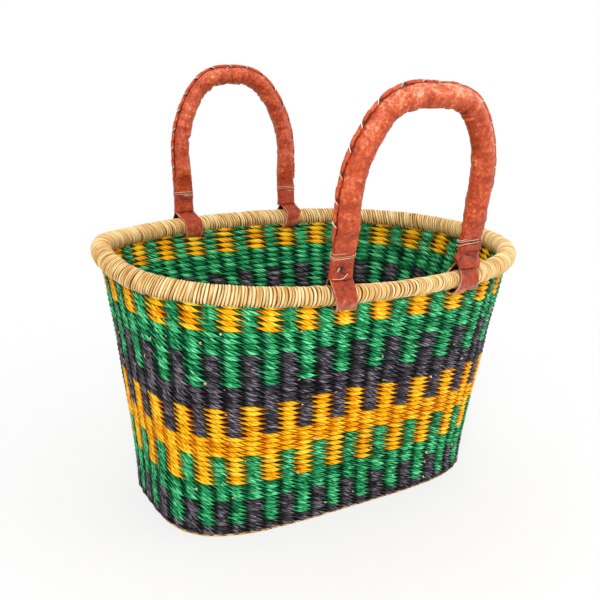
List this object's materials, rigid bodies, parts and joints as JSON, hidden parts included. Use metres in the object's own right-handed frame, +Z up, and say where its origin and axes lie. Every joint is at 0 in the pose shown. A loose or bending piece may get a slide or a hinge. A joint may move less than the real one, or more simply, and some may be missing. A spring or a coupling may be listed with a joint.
{
  "type": "bolga basket",
  "caption": "Oval twined straw shopping basket that flares from a flat base to a wrapped rim, with leather-covered arched handles hinged on leather strap loops round the rim.",
  "frame": {"origin": "on the ground, under the middle of the flat base", "axes": "+X along the long side of the oval, +Y across it towards the rear handle, +Z up; the front handle stands on the -Y side"},
  "size_m": [0.442, 0.3723, 0.4265],
  "materials": {
    "natural_straw": "matte",
    "green_straw": "satin",
    "dark_straw": "satin",
    "yellow_straw": "satin",
    "sleeve_leather": "satin",
    "strap_leather": "satin",
    "rope": "matte",
    "thread": "matte"
  },
  "bodies": {
    "basket": {"base_panel": "natural_straw", "base_border": "natural_straw", "weave_dark_foot": "dark_straw", "weave_green_lower": "green_straw", "weave_yellow": "yellow_straw", "weave_dark_upper": "dark_straw", "weave_green_top": "green_straw", "rim_core": "natural_straw", "rim_wrap": "natural_straw"},
    "front_handle": {"front_handle_rope": "rope", "front_handle_sleeve": "sleeve_leather", "front_seam_welt": "sleeve_leather", "front_seam_thread": "thread", "front_strap_left": "strap_leather", "front_strap_right": "strap_leather", "front_binding_left": "thread", "front_binding_right": "thread"},
    "rear_handle": {"rear_handle_rope": "rope", "rear_handle_sleeve": "sleeve_leather", "rear_seam_welt": "sleeve_leather", "rear_seam_thread": "thread", "rear_strap_left": "strap_leather", "rear_strap_right": "strap_leather", "rear_binding_left": "thread", "rear_binding_right": "thread"}
  },
  "joints": [
    {"name": "front_handle_swing", "type": "hinge", "parent": "basket", "child": "front_handle", "pos_m": [-0.006, -0.15548, 0.248], "axis": [0.9999, -0.0167, 0], "range_deg": [-64, 115]},
    {"name": "rear_handle_swing", "type": "hinge", "parent": "basket", "child": "rear_handle", "pos_m": [-0.0035, 0.15552, 0.248], "axis": [-1, -0.0097, 0], "range_deg": [-64, 115]}
  ]
}
